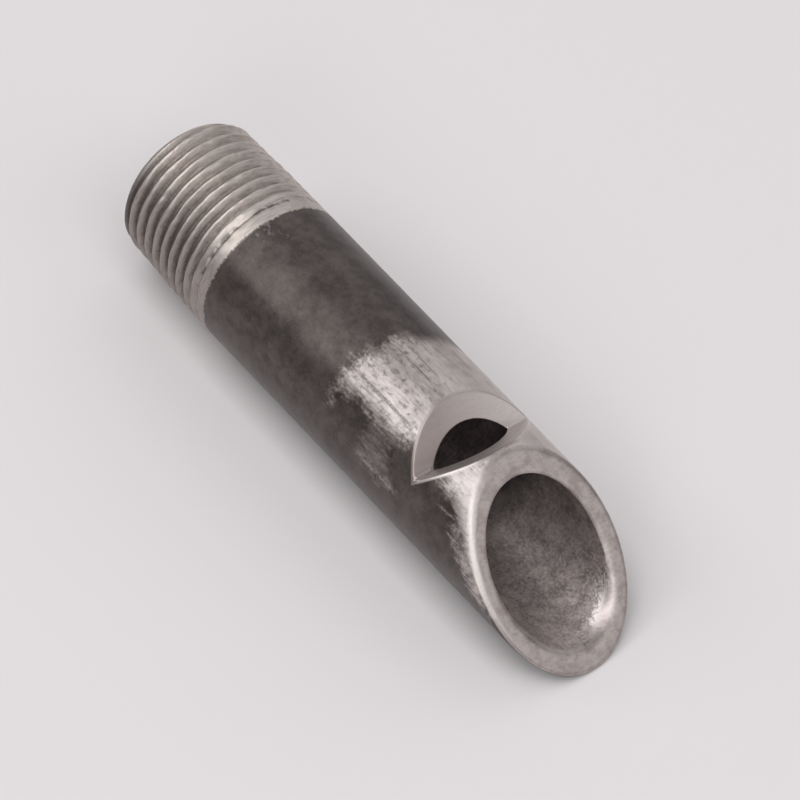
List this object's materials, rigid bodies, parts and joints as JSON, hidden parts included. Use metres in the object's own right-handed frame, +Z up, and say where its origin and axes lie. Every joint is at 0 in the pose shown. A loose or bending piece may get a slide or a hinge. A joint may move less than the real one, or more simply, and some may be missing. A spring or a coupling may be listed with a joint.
{
  "type": "oil burner nozzle",
  "caption": "Steel pipe oil burner nozzle with a taper-threaded inlet end, a V notch in its top wall and a slanting open mouth.",
  "frame": {"origin": "centre of the threaded end's face, on the pipe's axis", "axes": "+X along the pipe's axis towards the open mouth, +Z up through the middle of the notch"},
  "size_m": [0.0889, 0.0212, 0.0212],
  "materials": {
    "pipe_steel": "dark mill scale, bare metal on the thread, the top by the notch and all cut faces"
  },
  "bodies": {
    "root": {"nozzle_pipe": "pipe_steel"}
  },
  "joints": []
}
